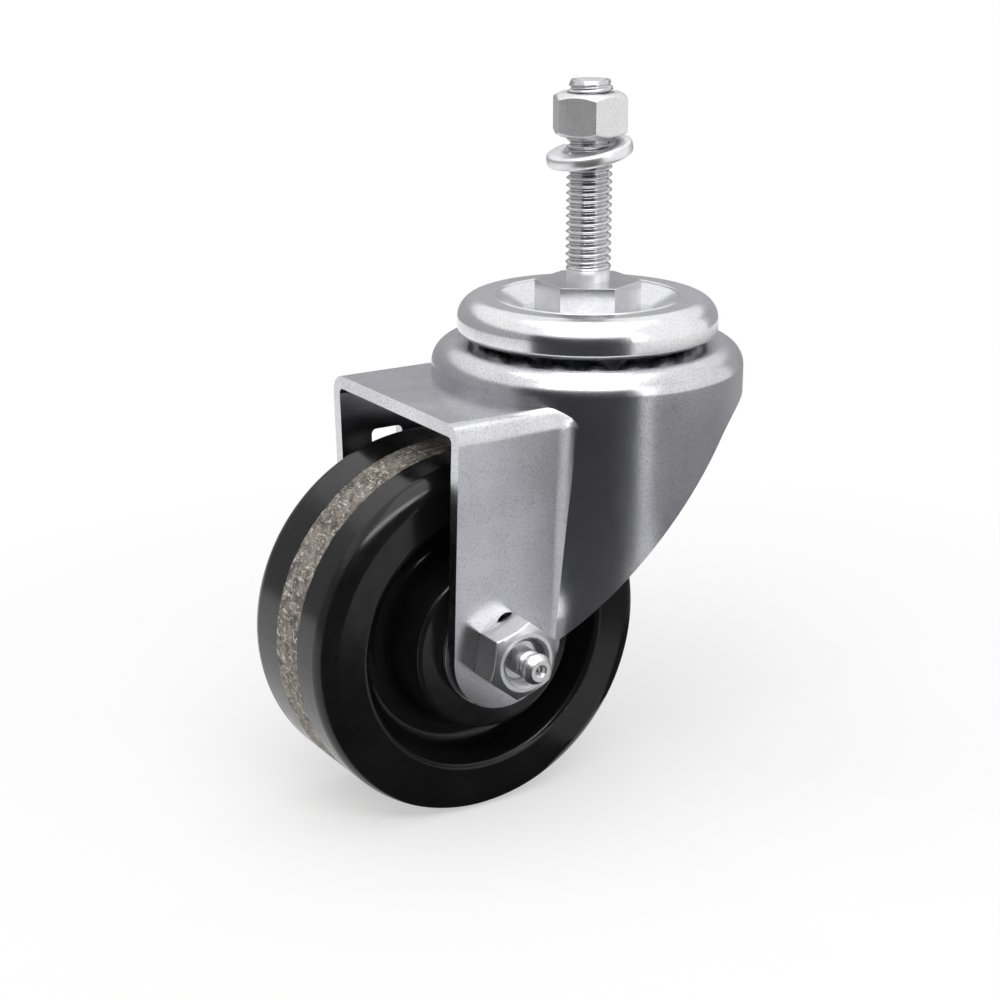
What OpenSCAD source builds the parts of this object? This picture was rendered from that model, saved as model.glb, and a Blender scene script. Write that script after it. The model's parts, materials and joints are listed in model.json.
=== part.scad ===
// Threaded stem swivel castor: screwed stem with a hex shoulder, double ball swivel
// under a pressed cap, one-piece pressed steel fork and a moulded wheel on a roller bearing.
// Millimetres. The origin is on the stem axis in the top face of the hex shoulder:
// Z points up the stem, X from the stem towards the wheel, Y along the axle.

/* [Stem] */
// Thread size over the crests
stem_d = 9.525; // [6:0.025:16]
// Length of the stem above the hex shoulder
stem_length = 41.2; // [25:0.1:60]
// Thread lead for one turn
thread_pitch = 1.5875; // [1:0.0125:2.5]
// Length of the bare neck
neck_length = 2.4; // [1:0.1:6]
// Hex shoulder across the flats
hex_af = 19.4; // [14:0.1:26]
// Height of the hex shoulder
hex_height = 6.6; // [4:0.1:10]
// Turn of the hex shoulder about the stem
hex_turn = 25; // [0:1:60]

/* [Stem nut and lock washer] */
// Stem nut across the flats
nut_af = 14.29; // [10:0.01:24]
// Height of the stem nut
nut_height = 8.9; // [5:0.1:12]
// Height of the underside of the nut above the hex shoulder
nut_lift = 29.8; // [16:0.1:36]
// Turn of the stem nut about the stem
nut_turn = 3.5; // [0:0.5:60]
// Outside size of the split lock washer
washer_d = 18.05; // [12:0.05:26]
// Thickness of the split lock washer
washer_t = 2.7; // [1:0.1:3]
// Lean of the loose lock washer on the stem
washer_tilt = 12; // [0:0.1:12.5]
// Side of the stem towards which the washer leans
washer_lean = 86; // [0:1:360]

/* [Swivel] */
// Cap over its widest part
cap_d = 54.9; // [48:0.1:60]
// Drop of the cap's crown below the hex top
crown_drop = 3.2; // [2:0.1:5]
// Height of the open gap between the cap and the fork
cap_gap = 1.6; // [0.8:0.1:2]
// Thickness of the cap
cap_t = 2.2; // [1.6:0.1:2.6]
// Size of the kingpin below the hex shoulder
kingpin_d = 14; // [10:0.5:15]
// Size of the upper balls
upper_ball_d = 7.14; // [6:0.02:7.2]
// Size of the lower balls
lower_ball_d = 4.76; // [3:0.02:6]

/* [Fork] */
// Sheet of the fork
sheet = 2.7; // [1.6:0.1:3]
// How far the skirt stands out past the cap
skirt_reach = 5.55; // [4:0.05:8]
// Lean of each leg towards the other one, down to the axle
leg_lean = 2.7; // [0:0.1:4]
// Drop of the bridge's top face below the hex top
bridge_drop = 19.1; // [17:0.1:22]
// Outside radius of the bends between bridge and legs
bend_r = 4; // [3:0.1:6]
// Radius of the hollow where a leg runs into the skirt
blend_r = 13; // [8:0.5:30]
// Radius of the leg ends about the axle
leg_r = 12.3; // [10:0.1:15]
// Drop of the skirt's rear edge below the hex top
rear_drop = 22.8; // [20:0.1:28]
// Slope of the rear edge of the legs
rear_slope = 48; // [42:0.5:54]
// Radius of the rear edge where it leaves the skirt
rear_r = 20; // [8:0.5:24]
// Width and height of the window in the far leg
window = 7.4; // [4:0.1:9]
// Drop of the window's top edge below the hex top
window_drop = 31.9; // [28:0.1:38]

/* [Axle] */
// Horizontal distance from the stem axis to the axle
axle_lead = 34.9; // [30:0.1:42]
// Drop of the axle below the hex top
axle_drop = 68.15; // [62:0.05:80]
// Size of the axle bolt
axle_d = 9.525; // [8:0.025:10]
// Bolt head and axle nut across the flats
axle_af = 14.29; // [13:0.01:18]
// Height of the axle nut
axle_nut_height = 7.3; // [5:0.1:10]
// Turn of the axle nut about the axle
axle_nut_turn = 10; // [0:1:60]
// Height of the bolt head
axle_head_height = 6; // [4:0.1:8]
// Reach of the grease fitting past the axle nut
fitting_reach = 5.2; // [4.5:0.1:10]

/* [Wheel] */
// Wheel over the tread
wheel_d = 76.2; // [64:0.1:84]
// Width of the tread
tread_width = 31.75; // [24:0.05:34]
// Rounding of the tread's edges
tread_round = 4; // [1:0.1:6]
// Length of the hub
hub_length = 38.1; // [34:0.05:42]
// Thickness of the washers between hub and legs
hub_washer_t = 1.3; // [0.6:0.1:2]
// Size of the hub at its ends
hub_d = 36; // [30:0.5:40]
// Size of the hollow in each face
hollow_d = 54.6; // [48:0.2:60]
// Thickness of the web
web_t = 15; // [8:0.5:20]
// Number of rollers
rollers_n = 12; // [6:1:14]
// Size of the rollers
roller_d = 3.12; // [2.6:0.02:3.4]

/* [Fits] */
// Radial gap of threads and pins in their holes
fit_gap = 0.06; // [0.02:0.01:0.1]
// Gap at a ball or roller that carries the load
rolling_gap = 0.03; // [0.02:0.01:0.06]
// Side gap between the hub, its washers and the legs
side_gap = 0.15; // [0.1:0.05:0.3]

/* [Hidden] */
$fn = 64;
zinc = [0.78, 0.79, 0.81];
bright = [0.88, 0.88, 0.90];
steel = [0.60, 0.61, 0.63];
resin = [0.10, 0.10, 0.11];

stem_r = stem_d / 2;
neck_share = 0.12;
neck_r = stem_r - neck_share * thread_pitch;
point_height = thread_pitch;
point_share = 0.57;
point_r = stem_r - point_share * thread_pitch;
kingpin_r = kingpin_d / 2;
chamfer_slope = tan(30);
round_over = 1.001;
nut_face_share = 0.87;

nut_bore_r = stem_r + fit_gap;
washer_play = 0.7;
washer_bore_r = stem_r + washer_play;
washer_split = 2;
washer_clear = 0.15;
washer_lift = nut_lift - washer_clear - washer_d / 2 * sin(washer_tilt) - washer_t / 2 * cos(washer_tilt);

cap_r = cap_d / 2;
cap_corner_r = 4.6;
cap_hem = 1;
ball_clear = 0.18;
ball_spacing = 0.05;
race_top_z = -crown_drop - cap_t;
upper_ball_r = upper_ball_d / 2;
upper_track_r = cap_r - cap_t - ball_clear - upper_ball_r;
upper_ball_z = race_top_z - rolling_gap - upper_ball_r;
upper_balls_n = floor(180 / asin((upper_ball_r + ball_spacing) / upper_track_r));
crown_inset = 1.8;
crown_r = upper_track_r - crown_inset;
dish_run = 5.7;
dish_r = crown_r - dish_run;
dish_floor_z = -hex_height;
dish_lean = atan((hex_height - crown_drop) / dish_run);
dish_shift = cap_t * tan(dish_lean / 2);

fork_top_z = upper_ball_z - upper_ball_r - rolling_gap;
cap_drop = -fork_top_z - cap_gap;
lower_ball_r = lower_ball_d / 2;
lower_track_gap = 4.1;
lower_track_r = kingpin_r + lower_track_gap + lower_ball_r;
lower_ball_z = fork_top_z - sheet - rolling_gap - lower_ball_r;
lower_balls_n = floor(180 / asin((lower_ball_r + ball_spacing) / lower_track_r));
lower_race_z = lower_ball_z - lower_ball_r - rolling_gap;
lower_race_t = 2;
lower_race_edge = 1;
lower_rim_gap = 0.6;
lower_rim_r = lower_track_r + lower_ball_r + lower_rim_gap + lower_race_t;
lower_rim_rise = 3.4;
rivet_reach = 2;
rivet_r = kingpin_r + rivet_reach;
rivet_height = 2.2;
rivet_edge = 0.7;
rivet_z = lower_race_z - lower_race_t;

skirt_r = cap_r + skirt_reach;
shoulder_r = 5;
lip_rise = 0.1;
lip_overlap = 0.1;
lip_r = cap_r - lip_overlap;
kingpin_hole_play = 1.2;
kingpin_hole_r = kingpin_r + kingpin_hole_play;
inner_face_y = hub_length / 2 + hub_washer_t + 2 * side_gap;
outer_face_y = inner_face_y + sheet / cos(leg_lean);
half_width = outer_face_y + (axle_drop - bridge_drop) * tan(leg_lean);
bend_reach = bend_r / tan(45 - leg_lean / 2);
front_x = axle_lead + leg_r;
deep_z = -axle_drop - 2 * leg_r;
blend_depth = -5;
blend_bite = bend_r + sheet / 5;
hollow_bite = blend_bite + 2 * sheet;
blend_half = half_width * cos(leg_lean) - blend_depth * sin(leg_lean);
blend_x = sqrt(pow(skirt_r + blend_r, 2) - pow(blend_half + blend_r, 2));
bar_overlap = 3;
ledge_drop = 0.05;
seat_gap = 0.6;
rear_run = rear_r * tan(rear_slope / 2);
rear_overrun = 1.02;
rear_len = (axle_drop - rear_drop) * rear_overrun;
rear_offset = 9;
rear_steps = 10;
rear_corner_x = axle_lead - rear_offset / sin(rear_slope) - (axle_drop - rear_drop) / tan(rear_slope);
window_lead = 1.4;
window_x = axle_lead + window_lead;
window_round = 1.2;
notch_r = 2.5;
notch_rise = 5.9;

axle_r = axle_d / 2;
axle_hole_r = axle_r + fit_gap;
axle_sink = 2.6;
axle_end_y = outer_face_y + axle_nut_height - axle_sink;
nut_mouth = 0.5;
grease_way_r = 1.4;
grease_port_r = 1.1;
fitting_shank_r = 2.5;
fitting_shank = 4;
fitting_body_r = 2.9;
fitting_waist_r = 2.45;
fitting_head_r = 3.15;
fitting_tip_r = 2.25;
fitting_mouth_r = 1.3;
fitting_seat_r = 0.75;
fitting_seat_depth = 0.9;
fitting_nose = 1.3;
fitting_crest = 2.1;
fitting_neck = 3;
fitting_neck_end = 3.6;
fitting_collar = 4.2;
fitting_end_y = outer_face_y + axle_nut_height + fitting_reach;
check_ball_r = 1.15;
seat_rise = sqrt(pow(check_ball_r, 2) - pow(fitting_seat_r, 2));
check_ball_depth = fitting_seat_depth + rolling_gap + seat_rise;
seat_flare = (grease_way_r - fitting_seat_r) * fitting_seat_r / seat_rise;

spanner_r = 7.94;
roller_r = roller_d / 2;
roller_track_r = spanner_r + rolling_gap + roller_r;
hub_bore_r = roller_track_r + roller_r + rolling_gap;
cage_t = 1.3;
cage_inset = 1.25;
cage_length = hub_length - 2 * cage_inset;
cage_rim = 2.8;
cage_play = 0.2;
roller_length = cage_length - 2 * cage_rim;
hub_washer_r = 12.7;
wheel_r = wheel_d / 2;
hub_r = hub_d / 2;
hub_flare = 1.4;
hollow_r = hollow_d / 2;
hollow_draft = 1.8;
hollow_round = 1.6;
web_round = 2.6;
hub_round = 1;

// Hexagon prism standing on z = 0, its top corners cut back by a cone, and its bottom ones too if asked
module hex_prism(af, height, both_ends) {
    face_r = nut_face_share * af / 2;
    wide_r = af;
    cone_rise = (wide_r - face_r) * chamfer_slope;
    foot = both_ends ? [[face_r, 0], [wide_r, cone_rise]] : [[wide_r, 0]];
    intersection() {
        cylinder(r = af / sqrt(3), h = height, $fn = 6);
        rotate_extrude()
            polygon(concat([[0, 0]], foot, [[wide_r, height - cone_rise], [face_r, height], [0, height]]));
    }
}

// Puts something drawn upright on the origin onto the axle line, its Z along the axle
module on_axle(y) {
    translate([axle_lead, y, -axle_drop])
        rotate([-90, 0, 0])
            children();
}

module threaded_stem() {
    color(bright) {
        translate([0, 0, neck_length])
            cylinder(r = stem_r, h = stem_length - neck_length - point_height);
        translate([0, 0, stem_length - point_height])
            cylinder(r1 = stem_r, r2 = point_r, h = point_height);
        cylinder(r = neck_r, h = neck_length);
        translate([0, 0, -hex_height])
            rotate([0, 0, hex_turn])
                cylinder(r = hex_af / sqrt(3), h = hex_height, $fn = 6);
        translate([0, 0, rivet_z])
            cylinder(r = kingpin_r, h = -hex_height - rivet_z);
        translate([0, 0, rivet_z - rivet_height + rivet_edge])
            cylinder(r = rivet_r, h = rivet_height - rivet_edge);
        translate([0, 0, rivet_z - rivet_height])
            cylinder(r1 = rivet_r - rivet_edge, r2 = rivet_r, h = rivet_edge);
    }
}

module stem_nut() {
    color(bright)
        translate([0, 0, nut_lift])
            rotate([0, 0, nut_turn])
                difference() {
                    hex_prism(nut_af, nut_height, true);
                    translate([0, 0, -nut_height])
                        cylinder(r = nut_bore_r, h = 3 * nut_height);
                }
}

module stem_lock_washer() {
    color(bright)
        translate([0, 0, washer_lift])
            rotate([0, 0, washer_lean])
                rotate([washer_tilt, 0, 0])
                    difference() {
                        translate([0, 0, -washer_t / 2])
                            cylinder(r = washer_d / 2, h = washer_t);
                        translate([0, 0, -washer_t])
                            cylinder(r = washer_bore_r, h = 2 * washer_t);
                        rotate([0, 30, 0])
                            translate([-washer_d, -washer_split / 2, -washer_d])
                                cube([washer_d, washer_split, 2 * washer_d]);
                    }
}

// Sliver between a corner and its rounding, drawn a little past the corner so that it can be cut or added.
// The corner's edges leave it at the angles a and b, counted up from a to b. The rounding is a hair larger
// than the circle that only touches the edges, so that it meets each of them in one clear point
module corner_piece(corner, a, b, r) {
    half = (b - a) / 2;
    mid = [cos((a + b) / 2), sin((a + b) / 2)];
    reach = r / tan(half);
    centre = mid * r / sin(half);
    end_a = reach * [cos(a), sin(a)];
    end_b = reach * [cos(b), sin(b)];
    bite = r / 4;
    translate(corner)
        difference() {
            polygon([end_a, centre, end_b, end_b - bite * mid, -2 * bite * mid, end_a - bite * mid]);
            translate(centre)
                circle(r = r * round_over);
        }
}

// Outer face of the cap, as half a section
module cap_outside() {
    difference() {
        polygon([
            [0, dish_floor_z], [dish_r, dish_floor_z], [crown_r, -crown_drop], [cap_r, -crown_drop],
            [cap_r, -cap_drop + cap_hem], [cap_r - cap_hem, -cap_drop], [0, -cap_drop]
        ]);
        corner_piece([cap_r, -crown_drop], 180, 270, cap_corner_r);
    }
}

// Hollow under the cap, as half a section
module cap_inside() {
    difference() {
        polygon([
            [0, dish_floor_z - cap_t], [dish_r + dish_shift, dish_floor_z - cap_t],
            [crown_r + dish_shift, race_top_z], [cap_r - cap_t, race_top_z],
            [cap_r - cap_t, -cap_drop - cap_t], [0, -cap_drop - cap_t]
        ]);
        corner_piece([cap_r - cap_t, race_top_z], 180, 270, cap_corner_r - cap_t);
    }
}

module top_cap() {
    color(zinc)
        difference() {
            rotate_extrude()
                difference() {
                    cap_outside();
                    cap_inside();
                }
            translate([0, 0, dish_floor_z - 2 * cap_t])
                cylinder(r = kingpin_r + fit_gap, h = 4 * cap_t);
        }
}

// Full ring of loose balls
module ball_ring(count, track_r, ball_r, z) {
    for (i = [0 : count - 1])
        rotate([0, 0, 360 * i / count])
            translate([track_r, 0, z])
                sphere(r = ball_r);
}

module upper_balls() {
    color(steel)
        ball_ring(upper_balls_n, upper_track_r, upper_ball_r, upper_ball_z);
}

module lower_balls() {
    color(steel)
        ball_ring(lower_balls_n, lower_track_r, lower_ball_r, lower_ball_z);
}

module lower_race() {
    color(zinc)
        rotate_extrude()
            polygon([
                [kingpin_r + fit_gap, lower_race_z - lower_race_t],
                [lower_rim_r - lower_race_edge, lower_race_z - lower_race_t],
                [lower_rim_r, lower_race_z - lower_race_t + lower_race_edge],
                [lower_rim_r, lower_race_z + lower_rim_rise],
                [lower_rim_r - lower_race_t, lower_race_z + lower_rim_rise],
                [lower_rim_r - lower_race_t, lower_race_z],
                [kingpin_r + fit_gap, lower_race_z]
            ]);
}

// Round housing of the swivel, inset from its outer face
module skirt_body(inset, top_z) {
    r = skirt_r - inset;
    rotate_extrude()
        difference() {
            translate([0, deep_z])
                square([r, top_z - deep_z]);
            corner_piece([r, top_z], 180, 270, shoulder_r - inset);
        }
}

// Bridge and leaning legs as one bar along X, inset from its outer face
module bridge_body(inset) {
    top_z = -bridge_drop - inset;
    half = half_width - inset / cos(leg_lean) - inset * tan(leg_lean);
    foot = half - (top_z - deep_z) * tan(leg_lean);
    translate([blend_x - bar_overlap, 0, 0])
        rotate([90, 0, 90])
            linear_extrude(height = front_x + 2 * bar_overlap - blend_x)
                difference() {
                    polygon([[-half, top_z], [half, top_z], [foot, deep_z], [-foot, deep_z]]);
                    for (side = [0, 1])
                        mirror([side, 0])
                            corner_piece([half, top_z], 180, 270 - leg_lean, bend_r - inset);
                }
}

// Hollow corner where a leg runs into the skirt, with the bridge's bend carried round its top.
// It is drawn about its own axis, which leans as the leg does
module leg_blends(inset, bite) {
    r = blend_r + inset;
    share = (blend_r + bite) / (skirt_r + blend_r);
    top = bend_r - bend_reach - ledge_drop - inset;
    intersection() {
        for (side = [0, 1])
            mirror([0, side, 0])
                translate([0, half_width, -bridge_drop])
                    rotate([-leg_lean, 0, 0])
                        translate([blend_x, blend_r, deep_z])
                            intersection() {
                                rotate_extrude()
                                    difference() {
                                        translate([r, 0])
                                            square([2 * blend_r, top - deep_z]);
                                        corner_piece([r, top - deep_z], -90, 0, bend_r - inset);
                                    }
                                linear_extrude(height = top - deep_z)
                                    polygon([
                                        [0, 0], [0, -blend_r - bite], [-blend_x * share, -blend_r - bite],
                                        -share * [blend_x, blend_half + blend_r]
                                    ]);
                            }
        translate([-2 * skirt_r, -2 * skirt_r, 2 * deep_z])
            cube([4 * skirt_r, 4 * skirt_r, -bridge_drop - inset - 2 * deep_z]);
    }
}

// Points along the rounded start of the rear edge, from the skirt down
function rear_arc() = [
    for (i = [0 : rear_steps])
        let (a = rear_slope * i / rear_steps)
            [rear_corner_x - rear_run + rear_r * sin(a), -rear_drop - rear_r * (1 - cos(a))]
];

// Side view of the fork: upright front edge, round leg ends and a slanted rear edge
module side_profile() {
    low_x = rear_corner_x + rear_len / tan(rear_slope);
    translate([0, skirt_r + 1, 0])
        rotate([90, 0, 0])
            linear_extrude(height = 2 * skirt_r + 2)
                polygon(concat(
                    [[-2 * skirt_r, 0], [front_x, 0], [front_x, -axle_drop], [axle_lead, -axle_drop]],
                    [[low_x, -rear_drop - rear_len]],
                    [for (i = [0 : rear_steps]) rear_arc()[rear_steps - i]],
                    [[-2 * skirt_r, -rear_drop]]
                ));
    on_axle(-skirt_r - 1)
        cylinder(r = leg_r, h = 2 * skirt_r + 2);
}

// Window through the far leg, its corners rounded
module leg_window() {
    translate([window_x, -outer_face_y + 2 * sheet, -window_drop - window / 2])
        rotate([90, 0, 0])
            linear_extrude(height = skirt_r) {
                square([window, window - 2 * window_round], center = true);
                square([window - 2 * window_round, window], center = true);
                for (x = [-1, 1], y = [-1, 1])
                    translate([x * (window / 2 - window_round), y * (window / 2 - window_round)])
                        circle(r = window_round);
            }
}

// Flat seats for the nut, the bolt head and the hub washers on the leaning legs
module axle_seats() {
    for (side = [0, 1])
        mirror([0, side, 0])
            on_axle(outer_face_y)
                cylinder(r = axle_af / sqrt(3) + seat_gap, h = skirt_r);
    on_axle(-inner_face_y)
        cylinder(r = hub_washer_r + seat_gap, h = 2 * inner_face_y);
}

module fork() {
    color(zinc)
        difference() {
            intersection() {
                union() {
                    skirt_body(0, fork_top_z + lip_rise);
                    bridge_body(0);
                    leg_blends(0, blend_bite);
                }
                side_profile();
            }
            skirt_body(sheet, fork_top_z - sheet);
            bridge_body(sheet);
            leg_blends(sheet, hollow_bite);
            translate([0, 0, fork_top_z])
                cylinder(r = lip_r, h = sheet);
            translate([0, 0, fork_top_z - 2 * sheet])
                cylinder(r = kingpin_hole_r, h = 3 * sheet);
            on_axle(-skirt_r)
                cylinder(r = axle_hole_r, h = 2 * skirt_r);
            translate([0, 0, notch_rise])
                on_axle(-skirt_r)
                    cylinder(r = notch_r, h = 2 * skirt_r);
            axle_seats();
            leg_window();
        }
}

module axle_bolt() {
    color(bright)
        on_axle(0)
            difference() {
                union() {
                    translate([0, 0, -outer_face_y])
                        cylinder(r = axle_r, h = outer_face_y + axle_end_y);
                    mirror([0, 0, 1])
                        translate([0, 0, outer_face_y])
                            rotate([0, 0, 30])
                                hex_prism(axle_af, axle_head_height, false);
                }
                translate([0, 0, -grease_way_r])
                    cylinder(r = grease_way_r, h = axle_end_y + 2 * grease_way_r);
                translate([0, 0, axle_end_y - fitting_shank])
                    cylinder(r = fitting_shank_r + fit_gap, h = 2 * fitting_shank);
                rotate([90, 0, 0])
                    cylinder(r = grease_port_r, h = axle_d);
            }
}

module axle_nut() {
    bore_r = axle_r + fit_gap;
    color(bright)
        on_axle(outer_face_y)
            rotate([0, 0, 30 - axle_nut_turn])
                difference() {
                    hex_prism(axle_af, axle_nut_height, false);
                    translate([0, 0, -axle_nut_height])
                        cylinder(r = bore_r, h = 3 * axle_nut_height);
                    translate([0, 0, axle_nut_height - nut_mouth])
                        cylinder(r1 = bore_r, r2 = bore_r + 2 * nut_mouth, h = 2 * nut_mouth);
                }
}

module grease_fitting() {
    reach = fitting_end_y - axle_end_y;
    color(bright)
        on_axle(axle_end_y)
            rotate_extrude()
                polygon([
                    [grease_way_r, -fitting_shank], [fitting_shank_r, -fitting_shank], [fitting_shank_r, 0],
                    [fitting_body_r, 0], [fitting_body_r, reach - fitting_collar],
                    [fitting_waist_r, reach - fitting_neck_end], [fitting_waist_r, reach - fitting_neck],
                    [fitting_head_r, reach - fitting_crest], [fitting_head_r, reach - fitting_nose],
                    [fitting_tip_r, reach], [fitting_mouth_r, reach],
                    [fitting_seat_r, reach - fitting_seat_depth],
                    [grease_way_r, reach - fitting_seat_depth - seat_flare]
                ]);
}

module grease_check_ball() {
    color(steel)
        on_axle(fitting_end_y - check_ball_depth)
            sphere(r = check_ball_r);
}

module spanner_bushing() {
    color(steel)
        on_axle(-inner_face_y)
            difference() {
                cylinder(r = spanner_r, h = 2 * inner_face_y);
                translate([0, 0, -inner_face_y])
                    cylinder(r = axle_r + fit_gap, h = 4 * inner_face_y);
                translate([0, 0, inner_face_y])
                    rotate([90, 0, 0])
                        cylinder(r = grease_port_r, h = 2 * spanner_r);
            }
}

// Calls its child once for every roller of the bearing
module each_roller() {
    for (i = [0 : rollers_n - 1])
        rotate([0, 0, 360 * i / rollers_n])
            translate([roller_track_r, 0, 0])
                children();
}

module bearing_rollers() {
    color(steel)
        on_axle(-roller_length / 2)
            each_roller()
                cylinder(r = roller_r, h = roller_length);
}

module bearing_cage() {
    slot_length = roller_length + 2 * cage_play;
    color(steel)
        on_axle(-cage_length / 2)
            difference() {
                cylinder(r = roller_track_r + cage_t / 2, h = cage_length);
                translate([0, 0, -cage_length])
                    cylinder(r = roller_track_r - cage_t / 2, h = 3 * cage_length);
                translate([0, 0, (cage_length - slot_length) / 2])
                    each_roller()
                        cylinder(r = roller_r + cage_play, h = slot_length);
            }
}

module hub_washers() {
    color(bright)
        for (side = [0, 1])
            translate([axle_lead, 0, -axle_drop])
                mirror([0, side, 0])
                    rotate([-90, 0, 0])
                        translate([0, 0, hub_length / 2 + side_gap])
                            difference() {
                                cylinder(r = hub_washer_r, h = hub_washer_t);
                                translate([0, 0, -hub_washer_t])
                                    cylinder(r = spanner_r + 2 * fit_gap, h = 3 * hub_washer_t);
                            }
}

// One half of the wheel's half section, drawn past the middle: round-edged rim, hollow face and a flared hub
module half_wheel_section() {
    half = tread_width / 2;
    hub_half = hub_length / 2;
    web = web_t / 2;
    wall = atan(hollow_draft / (half - web));
    flank = atan(hub_flare / (hub_half - web));
    foot_r = hub_r + hub_flare;
    floor_r = hollow_r - hollow_draft;
    difference() {
        polygon([
            [hub_bore_r, -web], [wheel_r, -web], [wheel_r, half], [hollow_r, half], [floor_r, web], [foot_r, web],
            [hub_r, hub_half], [hub_bore_r, hub_half]
        ]);
        corner_piece([wheel_r, half], 180, 270, tread_round);
        corner_piece([hollow_r, half], -90 - wall, 0, hollow_round);
        corner_piece([hub_r, hub_half], 180, 270 + flank, hub_round);
    }
    corner_piece([floor_r, web], 90 - wall, 180, web_round);
    corner_piece([foot_r, web], 0, 90 + flank, web_round);
}

// Half a section of the wheel
module wheel_section() {
    half_wheel_section();
    mirror([0, 1])
        half_wheel_section();
}

module wheel() {
    color(resin)
        on_axle(0)
            rotate_extrude()
                wheel_section();
}

threaded_stem();
stem_nut();
stem_lock_washer();
top_cap();
upper_balls();
fork();
lower_balls();
lower_race();
axle_bolt();
axle_nut();
grease_fitting();
grease_check_ball();
spanner_bushing();
bearing_rollers();
bearing_cage();
hub_washers();
wheel();
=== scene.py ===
"""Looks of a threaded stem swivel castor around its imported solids. Metres, Z up the stem."""

import json
import math

import bmesh
import bpy
from mathutils import Matrix, Vector

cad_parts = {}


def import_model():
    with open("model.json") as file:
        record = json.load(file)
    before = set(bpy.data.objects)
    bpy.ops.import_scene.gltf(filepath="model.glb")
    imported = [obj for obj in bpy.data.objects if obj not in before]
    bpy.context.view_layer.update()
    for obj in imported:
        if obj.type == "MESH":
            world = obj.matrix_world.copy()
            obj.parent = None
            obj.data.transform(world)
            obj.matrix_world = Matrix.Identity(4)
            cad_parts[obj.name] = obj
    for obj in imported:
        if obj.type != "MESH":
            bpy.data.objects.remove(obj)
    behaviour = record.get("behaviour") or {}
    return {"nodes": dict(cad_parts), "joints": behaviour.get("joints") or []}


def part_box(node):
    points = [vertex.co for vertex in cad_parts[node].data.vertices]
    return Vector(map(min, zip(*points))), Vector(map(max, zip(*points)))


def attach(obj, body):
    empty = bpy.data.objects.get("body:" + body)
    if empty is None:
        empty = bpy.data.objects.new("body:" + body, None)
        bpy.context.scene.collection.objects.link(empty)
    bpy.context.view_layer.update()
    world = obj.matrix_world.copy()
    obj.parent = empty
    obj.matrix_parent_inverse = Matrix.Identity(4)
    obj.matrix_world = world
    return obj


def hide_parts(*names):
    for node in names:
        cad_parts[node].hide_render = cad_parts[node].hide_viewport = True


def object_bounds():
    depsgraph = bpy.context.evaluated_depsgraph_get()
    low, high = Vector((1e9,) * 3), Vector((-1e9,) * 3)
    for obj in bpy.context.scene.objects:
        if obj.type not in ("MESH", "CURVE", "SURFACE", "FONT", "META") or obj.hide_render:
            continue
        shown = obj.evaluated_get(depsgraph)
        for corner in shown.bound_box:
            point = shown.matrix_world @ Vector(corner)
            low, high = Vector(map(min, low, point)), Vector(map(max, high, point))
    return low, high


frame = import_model()
CAD_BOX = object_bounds()
MM = 0.001

# Camera, fitted to the photograph's square frame
CAMERA_PLACE = Vector((0.23235, 0.33272, 0.08197))
CAMERA_AIM = Vector((-0.50908, -0.80436, -0.30636))
CAMERA_LENS = 70.69
CAMERA_SENSOR = 36.0
CAMERA_CLIP = 0.01

# Solids that the scene's own pieces are fitted to
AXLE = Vector(next(j for j in frame["joints"] if j["name"] == "wheel_spin")["pos_m"])
STEM_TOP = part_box("threaded_stem")[1].z
CAP_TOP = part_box("top_cap")[1].z
AXLE_NUT_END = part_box("axle_nut")[1].y
BOLT_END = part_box("axle_bolt")[1].y
WASHER_LOW, WASHER_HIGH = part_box("stem_lock_washer")
WHEEL_LOW, WHEEL_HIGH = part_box("wheel")
TREAD_R = (WHEEL_HIGH.x - WHEEL_LOW.x) / 2

# Meshes: sides of a circle, welding distance, and the angles that make faces flat and edges sharp
ROUND = 96
WELD = 0.002 * MM
FLAT = math.radians(0.4)
SHARP = math.radians(25)
ROUNDING_STEPS = 2
EVEN_WEIGHT = 90

# Thread of the stem and of the axle nut
PITCH = 1.5875 * MM
THREAD_DEPTH = 0.80 * MM
THREAD_ROWS = 16
STEM_R = 4.7625 * MM

# Bare neck, sunk into the hex below it, with the thread fading in above it
NECK_R = 4.572 * MM
NECK_TOP = 2.6 * MM
NECK_SINK = 0.3 * MM
NECK_RUN_OUT = 0.3 * MM
NECK_FADE = 0.8 * PITCH
SHOULDER_CUT = 0.1 * MM
SHOULDER_ROUNDING = 0.12 * MM

# Chamfered end of the stem and the cup in it, whose wall is in shares of its radius and depth
POINT_R = 4.0 * MM
POINT_HEIGHT = 2.1 * MM
CUP_R = 3.1 * MM
CUP_RIM = 0.35 * MM
CUP_LIP = 0.15 * MM
CUP_DEPTH = 0.7 * MM
CUP_WALL = ((0.6, 0.8), (0.2, 1.0))

# Inner thread of the axle nut, from over the bolt's end to just short of the nut's own
NUT_PLAY = 0.10 * MM
NUT_WALL = 0.25 * MM
NUT_OVERLAP = 1.5 * MM
NUT_SHORT = 0.7 * MM
NUT_FADE = 0.5 * PITCH

# Split lock washer, loose on the stem, with its angles in degrees. Its rounding is in shares of
# WASHER_EDGE inwards and down, and its straight rim in a share of half its thickness
WASHER_R = 9.025 * MM
WASHER_BORE = 5.46 * MM
WASHER_T = 2.7 * MM
WASHER_TILT = 12
WASHER_LEAN = 86
WASHER_GAP = 14
WASHER_SPREAD = 0.5 * MM
WASHER_BREAK = 0.3 * MM
WASHER_EDGE = 0.75 * MM
WASHER_ROUNDING = ((1.0, 0.0), (0.35, 0.25), (0.08, 0.7))
WASHER_RIM = 0.3

# Bead round the crown of the cap
BEAD_R = 19.5 * MM
BEAD_THICK = 0.35 * MM
BEAD_SINK = -0.22 * MM
BEAD_SIDES = 12

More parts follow.
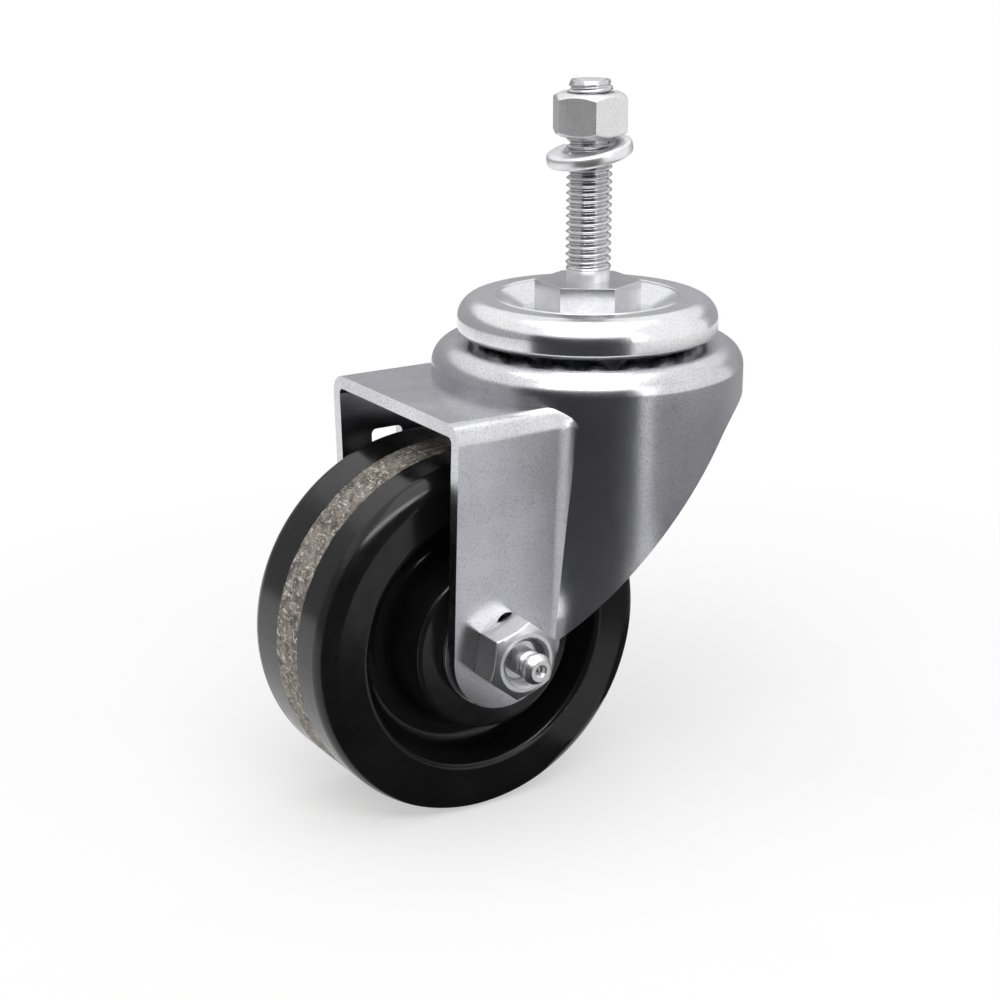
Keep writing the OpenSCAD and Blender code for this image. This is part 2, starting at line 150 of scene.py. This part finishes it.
# Wheel's ground band, where the canvas filler shows on the tread
BAND_HALF = 4.5 * MM
BAND_SHIFT = 1.0 * MM
BAND_RAGGED = 1.5 * MM
BAND_SOFT = 0.12 * MM
BAND_UNDER = 0.5 * MM
BAND_FULL = 0.2 * MM

# Tones of the materials
BLACK = (0, 0, 0)
WHITE = (1, 1, 1)
GRAIN_TONE = (0.70, 0.70, 0.72)
# Pale tone painted on the stem's bare neck as a highlight
NECK_HIGHLIGHT_TONE = (0.94, 0.94, 0.945)
RESIN_DEEP = (0.0040, 0.0038, 0.0040)
RESIN_WORN = (0.0075, 0.0070, 0.0072)
RESIN_DUST = (0.10, 0.10, 0.10)
MATRIX_DARK = (0.075, 0.066, 0.057)
MATRIX_LIGHT = (0.230, 0.206, 0.178)
FIBRE_DARK = (0.34, 0.305, 0.26)
FIBRE_LIGHT = (0.68, 0.64, 0.57)
NECK_SHADE = 0.9
NECK_ROUGHER = 0.25
NECK_EDGES = (0.02 * MM, NECK_TOP - 0.1 * MM)
SCRATCH_SHARE = 0.30
GREASE_SHADE = 0.72
CLOTH_ROUGHNESS = 0.62
RESIN_SPECULAR = 0.42

# Studio: the floor turns plain white from FLOOR_NEAR to FLOOR_FAR, and cards stand or lie on it
FLOOR_Z = CAD_BOX[0][2]
FLOOR_SIZE = 6
FLOOR_TONE = (0.97, 0.97, 0.97)
FLOOR_NEAR, FLOOR_FAR = 0.06, 0.22
FLOOR_GLOW = 0.5
SKY_FILL = 0.5
STUDIO_ROUGHNESS = 0.9
CARD_STEPS = 24
CARD_BLUE = 1.04
CARD_FOOT = FLOOR_Z + 1.0 * MM
CARD_ON_FLOOR = FLOOR_Z + 0.4 * MM


# Node materials

class Graph:
    """Node tree of a material or of the world, with short calls to add nodes and links."""

    def __init__(self, owner):
        owner.use_nodes = True
        self.owner = owner
        self.tree = owner.node_tree

    def add(self, kind, **settings):
        node = self.tree.nodes.new(kind)
        for key, value in settings.items():
            setattr(node, key, value)
        return node

    def link(self, source, target):
        self.tree.links.new(source, target)

    def math(self, operation, *values):
        node = self.add("ShaderNodeMath", operation=operation)
        for socket, value in zip(node.inputs, values):
            if isinstance(value, (int, float)):
                socket.default_value = value
            else:
                self.link(value, socket)
        return node.outputs["Value"]

    def span(self, source, into, over=(0.0, 1.0)):
        """Maps the range over to the range into, held at both ends."""
        node = self.add("ShaderNodeMapRange")
        self.link(source, node.inputs["Value"])
        for key, value in zip(("From Min", "From Max", "To Min", "To Max"), (*over, *into)):
            node.inputs[key].default_value = value
        return node.outputs["Result"]


class Finish(Graph):
    """Graph of a surface of the object, on coordinates that move with the piece."""

    def __init__(self, name):
        super().__init__(bpy.data.materials.new(name))
        self.shader = self.tree.nodes["Principled BSDF"]
        self.place = self.add("ShaderNodeTexCoord").outputs["Object"]

    def axes(self):
        node = self.add("ShaderNodeSeparateXYZ")
        self.link(self.place, node.inputs["Vector"])
        return tuple(node.outputs[axis] for axis in "XYZ")

    def stretch(self, scale, turn):
        node = self.add("ShaderNodeMapping")
        self.link(self.place, node.inputs["Vector"])
        node.inputs["Scale"].default_value = scale
        node.inputs["Rotation"].default_value = turn
        return node.outputs["Vector"]

    def noise(self, scale, detail=3.0, roughness=0.5, distortion=0.0, place=None):
        node = self.add("ShaderNodeTexNoise")
        self.link(place or self.place, node.inputs["Vector"])
        node.inputs["Scale"].default_value = scale
        node.inputs["Detail"].default_value = detail
        node.inputs["Roughness"].default_value = roughness
        node.inputs["Distortion"].default_value = distortion
        return node.outputs["Fac"]

    def ramp(self, source, *stops):
        """Colour ramp through two (position, colour) stops."""
        node = self.add("ShaderNodeValToRGB")
        self.link(source, node.inputs["Fac"])
        for point, (position, colour) in zip(node.color_ramp.elements, stops):
            point.position = position
            point.color = (*colour, 1.0)
        return node.outputs["Color"]

    def mix(self, share, first, second, blend="MIX"):
        node = self.add("ShaderNodeMix", data_type="RGBA", blend_type=blend)
        colours = [socket for socket in node.inputs if socket.type == "RGBA"]
        if isinstance(share, float):
            node.inputs[0].default_value = share
        else:
            self.link(share, node.inputs[0])
        self.link(first, colours[0])
        self.link(second, colours[1])
        return next(socket for socket in node.outputs if socket.type == "RGBA")

    def bump(self, height, strength, distance, under=None):
        node = self.add("ShaderNodeBump")
        node.inputs["Strength"].default_value = strength
        node.inputs["Distance"].default_value = distance
        self.link(height, node.inputs["Height"])
        if under is not None:
            self.link(under, node.inputs["Normal"])
        return node.outputs["Normal"]

    def finish(self, colour, roughness, normal, metallic):
        self.link(colour, self.shader.inputs["Base Color"])
        self.link(roughness, self.shader.inputs["Roughness"])
        self.link(normal, self.shader.inputs["Normal"])
        self.shader.inputs["Metallic"].default_value = metallic
        return self.owner


def shaded(share, tone):
    return tuple(share * c for c in tone)


def plated(name, dark, light, smooth, rough, grain, neck_highlight=None):
    """Zinc plate: cloudy tone, fine crystal grain and a few drawn scratches.

    smooth and rough are the ends of its roughness, grain is how much the grain shows, and the
    last argument is a pale tone painted on the stem's bare neck as a highlight, where the neck is
    also more matt than its thread.
    """
    g = Finish(name)
    cloud = g.ramp(g.noise(scale=70, detail=4, roughness=0.6), (0.30, dark), (0.70, light))
    crystals = g.noise(scale=2600, detail=2, roughness=0.6)
    speck = g.ramp(crystals, (0.30, GRAIN_TONE), (0.52, WHITE))
    colour = g.mix(grain, cloud, speck, "MULTIPLY")
    drawn = g.stretch(scale=(0.06, 1.0, 1.0), turn=(0.3, 0.5, 0.9))
    scratch = g.noise(scale=900, detail=2, distortion=0.4, place=drawn)
    rubbed = g.noise(scale=120, detail=2)
    worn = g.math("ADD", rubbed, g.math("MULTIPLY", scratch, SCRATCH_SHARE))
    roughness = g.span(worn, into=(smooth, rough), over=(0.35, 0.95))
    scored = g.bump(scratch, strength=0.05, distance=0.05 * MM)
    normal = g.bump(crystals, strength=0.12, distance=0.05 * MM, under=scored)
    # Painted highlight: a pale tone, varied at random, laid on the bare neck, which is also made
    # rougher
    if neck_highlight:
        height = g.axes()[2]
        above = g.math("GREATER_THAN", height, NECK_EDGES[0])
        below = g.math("LESS_THAN", height, NECK_EDGES[1])
        on_neck = g.math("MULTIPLY", above, below)
        tone = g.ramp(g.noise(scale=300), (0.3, shaded(NECK_SHADE, neck_highlight)), (0.7, neck_highlight))
        colour = g.mix(on_neck, colour, tone)
        roughness = g.math("ADD", roughness, g.math("MULTIPLY", on_neck, NECK_ROUGHER))
    return g.finish(colour, roughness, normal, metallic=1.0)


def greased(name, tone, smooth, rough):
    """Ground steel with a fine grain under an uneven film of grease."""
    g = Finish(name)
    film = g.ramp(g.noise(scale=160), (0.30, shaded(GREASE_SHADE, tone)), (0.70, tone))
    fine = g.noise(scale=3200, detail=2, roughness=0.6)
    roughness = g.span(g.noise(scale=420), into=(smooth, rough), over=(0.3, 0.7))
    normal = g.bump(fine, strength=0.08, distance=0.04 * MM)
    return g.finish(film, roughness, normal, metallic=1.0)


def resin():
    """Glossy black moulding, its canvas filler laid bare in a band round the tread."""
    g = Finish("moulded_resin_black")
    x, y, z = g.axes()
    out_x = g.math("SUBTRACT", x, AXLE.x)
    out_z = g.math("SUBTRACT", z, AXLE.z)
    squares = g.math("ADD", g.math("MULTIPLY", out_x, out_x), g.math("MULTIPLY", out_z, out_z))
    radius = g.math("SQRT", squares)
    uneven = g.math("SUBTRACT", g.noise(scale=330, detail=4, roughness=0.7), 0.5)
    ragged = g.math("MULTIPLY", uneven, BAND_RAGGED)
    across = g.math("ADD", g.math("SUBTRACT", y, BAND_SHIFT), ragged)
    from_middle = g.math("ABSOLUTE", across)
    edge = (BAND_HALF - BAND_SOFT, BAND_HALF + BAND_SOFT)
    on_band = g.span(from_middle, into=(1.0, 0.0), over=edge)
    skin = (TREAD_R - BAND_UNDER, TREAD_R - BAND_FULL)
    on_tread = g.span(radius, into=(0.0, 1.0), over=skin)
    band = g.math("MULTIPLY", on_band, on_tread)
    off_band = g.math("SUBTRACT", 1.0, band)

    lay_weft = g.stretch(scale=(1.0, 0.30, 1.0), turn=(0.7, 0.4, 0.2))
    lay_warp = g.stretch(scale=(0.32, 1.0, 0.9), turn=(0.3, 1.2, 0.8))
    weft = g.noise(scale=1500, roughness=0.65, distortion=0.8, place=lay_weft)
    warp = g.noise(scale=1400, roughness=0.65, distortion=0.8, place=lay_warp)
    threads = g.math("MAXIMUM", weft, warp)
    matrix = g.ramp(g.noise(scale=420), (0.35, MATRIX_DARK), (0.65, MATRIX_LIGHT))
    fibre = g.ramp(threads, (0.56, BLACK), (0.64, WHITE))
    pale = g.ramp(g.noise(scale=900, detail=2), (0.35, FIBRE_DARK), (0.65, FIBRE_LIGHT))
    cloth = g.mix(fibre, matrix, pale)

    flecks = g.noise(scale=1900, detail=2, roughness=0.7)
    black = g.ramp(g.noise(scale=90), (0.3, RESIN_DEEP), (0.7, RESIN_WORN))
    dust = g.ramp(flecks, (0.765, BLACK), (0.80, RESIN_DUST))
    colour = g.mix(band, g.mix(1.0, black, dust, "ADD"), cloth)
    polish = g.noise(scale=300, detail=4, roughness=0.6)
    gloss = g.span(polish, into=(0.13, 0.265), over=(0.3, 0.75))
    moulded = g.math("MULTIPLY", gloss, off_band)
    roughness = g.math("ADD", moulded, g.math("MULTIPLY", band, CLOTH_ROUGHNESS))
    ripple = g.bump(g.noise(scale=130, detail=2), strength=0.05, distance=0.3 * MM)
    raised = g.math("MULTIPLY", threads, band)
    weave = g.bump(raised, strength=0.5, distance=0.15 * MM, under=ripple)
    g.shader.inputs["Specular IOR Level"].default_value = RESIN_SPECULAR
    return g.finish(colour, roughness, weave, metallic=0.0)


PRESSED = plated(
    "pressed_zinc_sheet", dark=(0.62, 0.62, 0.645), light=(0.75, 0.75, 0.775),
    smooth=0.215, rough=0.265, grain=0.80)
CAPPED = plated(
    "pressed_zinc_cap", dark=(0.78, 0.78, 0.80), light=(0.91, 0.91, 0.925),
    smooth=0.19, rough=0.25, grain=0.60)
BRIGHT = plated(
    "bright_zinc_stem", dark=(0.54, 0.54, 0.555), light=(0.68, 0.68, 0.69),
    smooth=0.19, rough=0.265, grain=0.50, neck_highlight=NECK_HIGHLIGHT_TONE)
MATT = plated(
    "matt_zinc_nut", dark=(0.70, 0.70, 0.70), light=(0.84, 0.84, 0.84),
    smooth=0.34, rough=0.46, grain=0.60)
PALE = plated(
    "pale_zinc_hardware", dark=(0.80, 0.80, 0.81), light=(0.92, 0.92, 0.925),
    smooth=0.30, rough=0.42, grain=0.50)
STEEL = greased("bearing_steel_greased", tone=(0.52, 0.52, 0.54), smooth=0.16, rough=0.36)
RESIN = resin()

# Solids that keep their own mesh
NODE_FINISH = {
    PRESSED: ("lower_race",),
    STEEL: (
        "upper_balls", "lower_balls", "grease_check_ball",
        "spanner_bushing", "bearing_rollers", "bearing_cage",
    ),
    RESIN: ("wheel",),
}
# Pieces with rounded edges: (node, body, slot, finish, width of the rounding in mm)
ROUNDED = (
    ("fork", "fork", "pressed_zinc", PRESSED, 0.35),
    ("top_cap", "stem", "pressed_zinc", CAPPED, 0.20),
    ("stem_nut", "nut", "bright_zinc", MATT, 0.22),
    ("axle_nut", "fork", "bright_zinc", PALE, 0.22),
    ("axle_bolt", "fork", "bright_zinc", PALE, 0.22),
    ("grease_fitting", "fork", "bright_zinc", PALE, 0.10),
    ("hub_washers", "fork", "bright_zinc", PALE, 0.15),
)


# Objects and meshes

def placed(name, data):
    obj = bpy.data.objects.new(name, data)
    bpy.context.collection.objects.link(obj)
    return obj


def paint(obj, material):
    obj.data.materials.clear()
    obj.data.materials.append(material)


def piece(name, mesh, material, body, replaces=()):
    obj = placed(name, mesh)
    paint(obj, material)
    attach(obj, body)
    if replaces:
        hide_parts(*replaces)
    return obj


def to_mesh(bm, name):
    mesh = bpy.data.meshes.new(name)
    bm.to_mesh(mesh)
    bm.free()
    return mesh


def made(bm, name, smooth_angle=30):
    """Mesh that is smooth where its faces meet at less than smooth_angle degrees."""
    bmesh.ops.recalc_face_normals(bm, faces=bm.faces)
    mesh = to_mesh(bm, name)
    mesh.shade_smooth()
    mesh.set_sharp_from_angle(angle=math.radians(smooth_angle))
    return mesh


def turns(count=ROUND):
    return [2 * math.pi * i / count for i in range(count)]


def bridge(bm, rings):
    """Faces between each closed ring of points and the next."""
    for low, high in zip(rings, rings[1:]):
        for i in range(len(low)):
            j = (i + 1) % len(low)
            bm.faces.new((low[i], low[j], high[j], high[i]))


def rounded(bm, width):
    """Joins the facets of flat faces and rounds the sharp edges between faces."""
    bmesh.ops.remove_doubles(bm, verts=bm.verts, dist=WELD)
    bmesh.ops.dissolve_degenerate(bm, edges=bm.edges, dist=WELD)
    bmesh.ops.dissolve_limit(bm, angle_limit=FLAT, verts=bm.verts, edges=bm.edges)
    sharp = [e for e in bm.edges if e.is_manifold and e.calc_face_angle() > SHARP]
    bmesh.ops.bevel(
        bm, geom=sharp, offset=width, segments=ROUNDING_STEPS, profile=0.5,
        affect="EDGES", clamp_overlap=True)


def even(obj):
    """Keeps wide flat faces evenly shaded beside their rounded edges."""
    shade = obj.modifiers.new("even_shade", "WEIGHTED_NORMAL")
    shade.keep_sharp = True
    shade.weight = EVEN_WEIGHT


def dressed(node_name, body, slot, material, width):
    """The solid's own shape with its sharp edges rounded."""
    name = node_name + "_dressed"
    bm = bmesh.new()
    bm.from_mesh(frame["nodes"][node_name].data)
    rounded(bm, width * MM)
    even(piece(name, made(bm, name, smooth_angle=35), material, body, [node_name]))


def crest(turn):
    """Height of the thread from root 0 to crest 1 at a fraction of a turn."""
    slope = 1 - abs(2 * (turn % 1.0) - 1)
    return slope * slope * (3 - 2 * slope)


def crown_bead():
    """Thin pressed bead where the cap's crown turns down into its dish."""
    bm = bmesh.new()
    rings = []
    around = turns(2 * ROUND)
    for turn in turns(BEAD_SIDES):
        r = BEAD_R + BEAD_THICK * math.cos(turn)
        z = CAP_TOP + BEAD_SINK + BEAD_THICK * math.sin(turn)
        rings.append([bm.verts.new((r * math.cos(a), r * math.sin(a), z)) for a in around])
    bridge(bm, rings + rings[:1])
    piece("crown_bead", made(bm, "crown_bead"), CAPPED, "stem")


def stem_shoulder():
    """Hex, kingpin and riveted foot as the solid has them, without the plain stem above."""
    bm = bmesh.new()
    bm.from_mesh(frame["nodes"]["threaded_stem"].data)
    bmesh.ops.remove_doubles(bm, verts=bm.verts, dist=WELD)
    above = [v for v in bm.verts if v.co.z > SHOULDER_CUT]
    bmesh.ops.delete(bm, geom=above, context="VERTS")
    bmesh.ops.holes_fill(bm, edges=[e for e in bm.edges if e.is_boundary])
    rounded(bm, SHOULDER_ROUNDING)
    mesh = made(bm, "stem_shoulder")
    even(piece("stem_shoulder", mesh, BRIGHT, "stem", ["threaded_stem"]))


def stem_thread():
    """Rolled thread with a bare neck below and a cupped, chamfered end."""
    bm = bmesh.new()
    rings = []
    thread_top = STEM_TOP - POINT_HEIGHT

    def plain_ring(r, z):
        rings.append([bm.verts.new((r * math.cos(a), r * math.sin(a), z)) for a in turns()])

    def threaded_ring(limit, z):
        start = min(1.0, (z - NECK_TOP) / NECK_FADE)
        root = STEM_R - THREAD_DEPTH + (1 - start) * (NECK_R - STEM_R + THREAD_DEPTH)
        ring = []
        for a in turns():
            r = min(limit, root + (STEM_R - root) * crest(z / PITCH - a / (2 * math.pi)))
            ring.append(bm.verts.new((r * math.cos(a), r * math.sin(a), z)))
        rings.append(ring)

    for z in (-NECK_SINK, NECK_TOP / 2, NECK_TOP - NECK_RUN_OUT):
        plain_ring(NECK_R, z)
    steps = int((thread_top - NECK_TOP) / PITCH * THREAD_ROWS)
    for i in range(steps + 1):
        threaded_ring(STEM_R, NECK_TOP + (thread_top - NECK_TOP) * i / steps)
    for i in range(1, THREAD_ROWS + 1):
        share = i / THREAD_ROWS
        threaded_ring(STEM_R + (POINT_R - STEM_R) * share, STEM_TOP - POINT_HEIGHT * (1 - share))
    plain_ring(CUP_R + CUP_RIM, STEM_TOP)
    plain_ring(CUP_R, STEM_TOP - CUP_LIP)
    for inward, down in CUP_WALL:
        plain_ring(inward * CUP_R, STEM_TOP - down * CUP_DEPTH)
    bridge(bm, rings)
    bm.faces.new(list(reversed(rings[0])))
    bm.faces.new(rings[-1])
    mesh = made(bm, "stem_thread", smooth_angle=75)
    piece("stem_thread", mesh, BRIGHT, "stem", ["threaded_stem"])


def lock_washer():
    """Sprung ring with a cut, its ends a little apart, leaning on the stem under the nut."""
    half = WASHER_T / 2
    upper = [(WASHER_BORE, half - WASHER_BREAK), (WASHER_BORE + WASHER_BREAK, half)]
    for inward, down in WASHER_ROUNDING:
        upper.append((WASHER_R - inward * WASHER_EDGE, half - down * WASHER_EDGE))
    upper.append((WASHER_R, WASHER_RIM * half))
    section = upper + [(r, -z) for r, z in reversed(upper)]
    place = (
        Matrix.Translation((0, 0, (WASHER_LOW.z + WASHER_HIGH.z) / 2))
        @ Matrix.Rotation(math.radians(WASHER_LEAN), 4, "Z")
        @ Matrix.Rotation(math.radians(WASHER_TILT), 4, "X")
    )
    bm = bmesh.new()
    rings = []
    for i in range(ROUND + 1):
        share = i / ROUND
        a = math.radians(180 + WASHER_GAP / 2 + (360 - WASHER_GAP) * share)
        rise = WASHER_SPREAD * (share - 0.5)
        points = [Vector((r * math.cos(a), r * math.sin(a), z + rise)) for r, z in section]
        rings.append([bm.verts.new(place @ point) for point in points])
    bridge(bm, rings)
    bm.faces.new(rings[0])
    bm.faces.new(list(reversed(rings[-1])))
    mesh = made(bm, "split_washer", smooth_angle=40)
    piece("split_washer", mesh, PALE, "lock_washer", ["stem_lock_washer"])


def axle_nut_thread():
    """Turns of the nut's inner thread that show past the sunk end of the axle bolt."""
    bm = bmesh.new()
    bore = STEM_R + NUT_PLAY
    start, end = BOLT_END - NUT_OVERLAP, AXLE_NUT_END - NUT_SHORT

    def ring(y, base, depth):
        points = []
        for a in turns():
            r = base - depth * crest(y / PITCH + a / (2 * math.pi))
            points.append(bm.verts.new((AXLE.x + r * math.cos(a), y, AXLE.z + r * math.sin(a))))
        return points

    rows = int((end - start) / PITCH * THREAD_ROWS)
    inner = []
    for k in range(rows + 1):
        y = start + (end - start) * k / rows
        inner.append(ring(y, bore, THREAD_DEPTH * min(1.0, (end - y) / NUT_FADE)))
    first, last = [ring(y, bore + NUT_WALL, depth=0) for y in (start, end)]
    bridge(bm, [first] + inner + [last, first])
    mesh = made(bm, "axle_nut_thread", smooth_angle=50)
    piece("axle_nut_thread", mesh, BRIGHT, "fork")


def facing(direction):
    return direction.to_track_quat("-Z", "Y").to_euler()


def camera():
    data = bpy.data.cameras.new("photo_camera")
    data.lens = CAMERA_LENS
    data.sensor_width = CAMERA_SENSOR
    data.clip_start = CAMERA_CLIP
    obj = placed("photo_camera", data)
    obj.location = CAMERA_PLACE
    obj.rotation_euler = facing(CAMERA_AIM)
    bpy.context.scene.camera = obj


camera()
for material, names in NODE_FINISH.items():
    for name in names:
        paint(frame["nodes"][name], material)
for row in ROUNDED:
    dressed(*row)
crown_bead()
stem_shoulder()
stem_thread()
lock_washer()
axle_nut_thread()


# Studio

def studio_matt(name, tone):
    """Graph of a plain matt surface of the studio."""
    g = Graph(bpy.data.materials.new(name))
    shader = g.tree.nodes["Principled BSDF"]
    shader.inputs["Base Color"].default_value = (*tone, 1)
    shader.inputs["Roughness"].default_value = STUDIO_ROUGHNESS
    return g


def shown(g):
    """1 for rays that show a surface to the eye, in metal or through glass, 0 for lighting rays."""
    rays = g.add("ShaderNodeLightPath").outputs
    seen = g.math("MAXIMUM", rays["Is Camera Ray"], rays["Is Glossy Ray"])
    return g.math("MAXIMUM", seen, rays["Is Transmission Ray"])


def white_floor():
    """White floor that keeps the shadow near the object and is shown plain white further off."""
    g = studio_matt("floor_white", FLOOR_TONE)
    distance = g.add("ShaderNodeVectorMath", operation="LENGTH")
    g.link(g.add("ShaderNodeTexCoord").outputs["Object"], distance.inputs[0])
    glow = g.span(
        distance.outputs["Value"], into=(FLOOR_GLOW, 1.0), over=(FLOOR_NEAR, FLOOR_FAR))
    mix = g.add("ShaderNodeMixShader")
    g.link(g.math("MULTIPLY", shown(g), glow), mix.inputs["Fac"])
    g.link(g.tree.nodes["Principled BSDF"].outputs["BSDF"], mix.inputs[1])
    g.link(g.add("ShaderNodeEmission").outputs["Emission"], mix.inputs[2])
    g.link(mix.outputs["Shader"], g.tree.nodes["Material Output"].inputs["Surface"])
    return g.owner


def floor():
    bm = bmesh.new()
    bmesh.ops.create_grid(bm, x_segments=1, y_segments=1, size=FLOOR_SIZE)
    obj = placed("floor", to_mesh(bm, "floor"))
    obj.location.z = FLOOR_Z
    paint(obj, white_floor())


def card(name, foot, head, start, end, tone):
    """Curved card, dark or grey, that only reflections see, as is put beside polished metal.

    foot and head are the (radius, z) of its lower and upper edge round the stem's axis, start
    and end are its sides in degrees.
    """
    bm = bmesh.new()
    spread = [math.radians(start + (end - start) * i / CARD_STEPS) for i in range(CARD_STEPS + 1)]
    low, high = [
        [bm.verts.new((r * math.cos(a), r * math.sin(a), z)) for a in spread]
        for r, z in (foot, head)
    ]
    for i in range(CARD_STEPS):
        bm.faces.new((low[i], low[i + 1], high[i + 1], high[i]))
    obj = placed(name, to_mesh(bm, name))
    paint(obj, studio_matt(name, (tone, tone, tone * CARD_BLUE)).owner)
    obj.visible_camera = False
    obj.visible_diffuse = False
    obj.visible_shadow = False
    obj.visible_transmission = False


def wall_card(name, radius, start, end, low, high, tone):
    card(name, (radius, low), (radius, high), start, end, tone)


def floor_card(name, inner, outer, start, end, tone):
    card(name, (inner, CARD_ON_FLOOR), (outer, CARD_ON_FLOOR), start, end, tone)


def softbox(name, place, aim, size, power):
    light = bpy.data.lights.new(name, "AREA")
    light.shape = "RECTANGLE"
    light.size, light.size_y = size
    light.energy = power
    obj = placed(name, light)
    obj.location = place
    obj.rotation_euler = facing(Vector(aim) - Vector(place))


def world():
    """White sky to the eye and to metal, and a weaker fill to the rays that light things."""
    g = Graph(bpy.data.worlds.new("studio"))
    back = g.tree.nodes["Background"]
    back.inputs["Color"].default_value = (*WHITE, 1)
    g.link(g.span(shown(g), into=(SKY_FILL, 1.0)), back.inputs["Strength"])
    bpy.context.scene.world = g.owner


world()
floor()
softbox("top_box", place=(0.05, 0.10, 0.85), aim=(0, 0, -0.04), size=(0.9, 0.9), power=2.75)
softbox("front_box", place=(0.36, 0.52, 0.64), aim=(0, 0, -0.03), size=(0.90, 0.22), power=3.5)
softbox("side_box", place=(-0.10, 0.69, 0.18), aim=(0.01, 0, -0.03), size=(0.08, 0.45), power=0.35)
wall_card("front_flag", radius=0.17, start=9, end=91.5, low=CARD_FOOT, high=0.06, tone=0.045)
wall_card("side_flag", radius=0.09, start=94.5, end=215, low=-0.066, high=-0.027, tone=0.48)
wall_card("low_flag", radius=0.09, start=101, end=215, low=CARD_FOOT, high=-0.066, tone=0.25)
wall_card("back_flag", radius=0.5, start=180, end=372, low=CARD_FOOT, high=0.20, tone=0.42)
floor_card("front_floor_flag", inner=0.02, outer=0.17, start=10, end=84, tone=0.03)
floor_card("leg_floor_flag", inner=0.02, outer=0.29, start=84, end=125, tone=0.64)
floor_card("side_floor_flag", inner=0.02, outer=0.09, start=125, end=215, tone=0.03)
bpy.context.scene.view_settings.view_transform = "Standard"
